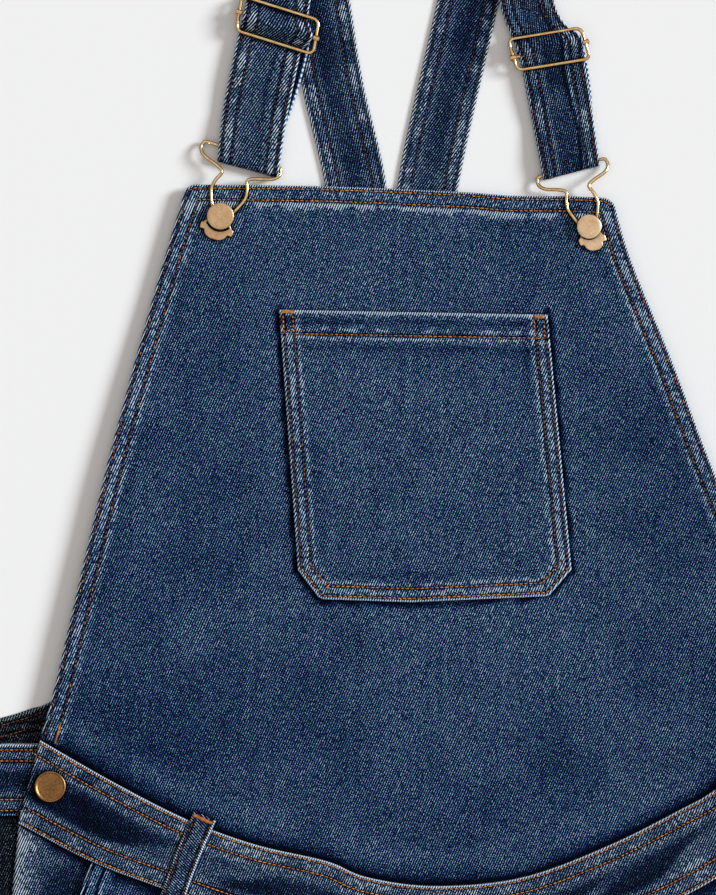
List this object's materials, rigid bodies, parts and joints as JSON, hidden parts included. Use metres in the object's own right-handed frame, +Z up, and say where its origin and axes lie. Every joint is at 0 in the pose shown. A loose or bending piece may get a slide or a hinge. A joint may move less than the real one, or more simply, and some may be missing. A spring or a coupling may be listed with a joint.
{
  "type": "denim dungarees",
  "caption": "Denim bib dungarees laid flat on their back, shoulder straps hooked to the bib, with a bib pocket, slant side pockets and full-length legs.",
  "frame": {"origin": "middle of the bounding box in x and y, on the surface that the garment lies on", "axes": "+X to the viewer's right, +Y from the leg hems to the shoulders, +Z up from the surface"},
  "size_m": [0.524, 1.4431, 0.0106],
  "materials": {
    "denim": "blue 3/1 twill, worn pale along its edges and seams",
    "denim_inside": "the dark side of the denim, seen inside the garment",
    "brass": "satin antique brass"
  },
  "bodies": {
    "root": {"bib_front": "denim", "bib_pocket": "denim", "waistband_front": "denim", "waistband_back": "denim", "back_panel": "denim_inside", "leg_front_left": "denim", "leg_back_left": "denim", "pocket_bearer_left": "denim", "belt_loop_left": "denim", "strap_front_left": "denim", "strap_back_left": "denim", "side_placket_left": "denim_inside", "slider_left": "brass", "hook_left": "brass", "bib_button_left": "brass", "waist_button_left": "brass", "leg_front_right": "denim", "leg_back_right": "denim", "pocket_bearer_right": "denim", "belt_loop_right": "denim", "strap_front_right": "denim", "strap_back_right": "denim", "side_placket_right": "denim_inside", "slider_right": "brass", "hook_right": "brass", "bib_button_right": "brass", "waist_button_right": "brass"}
  },
  "joints": []
}
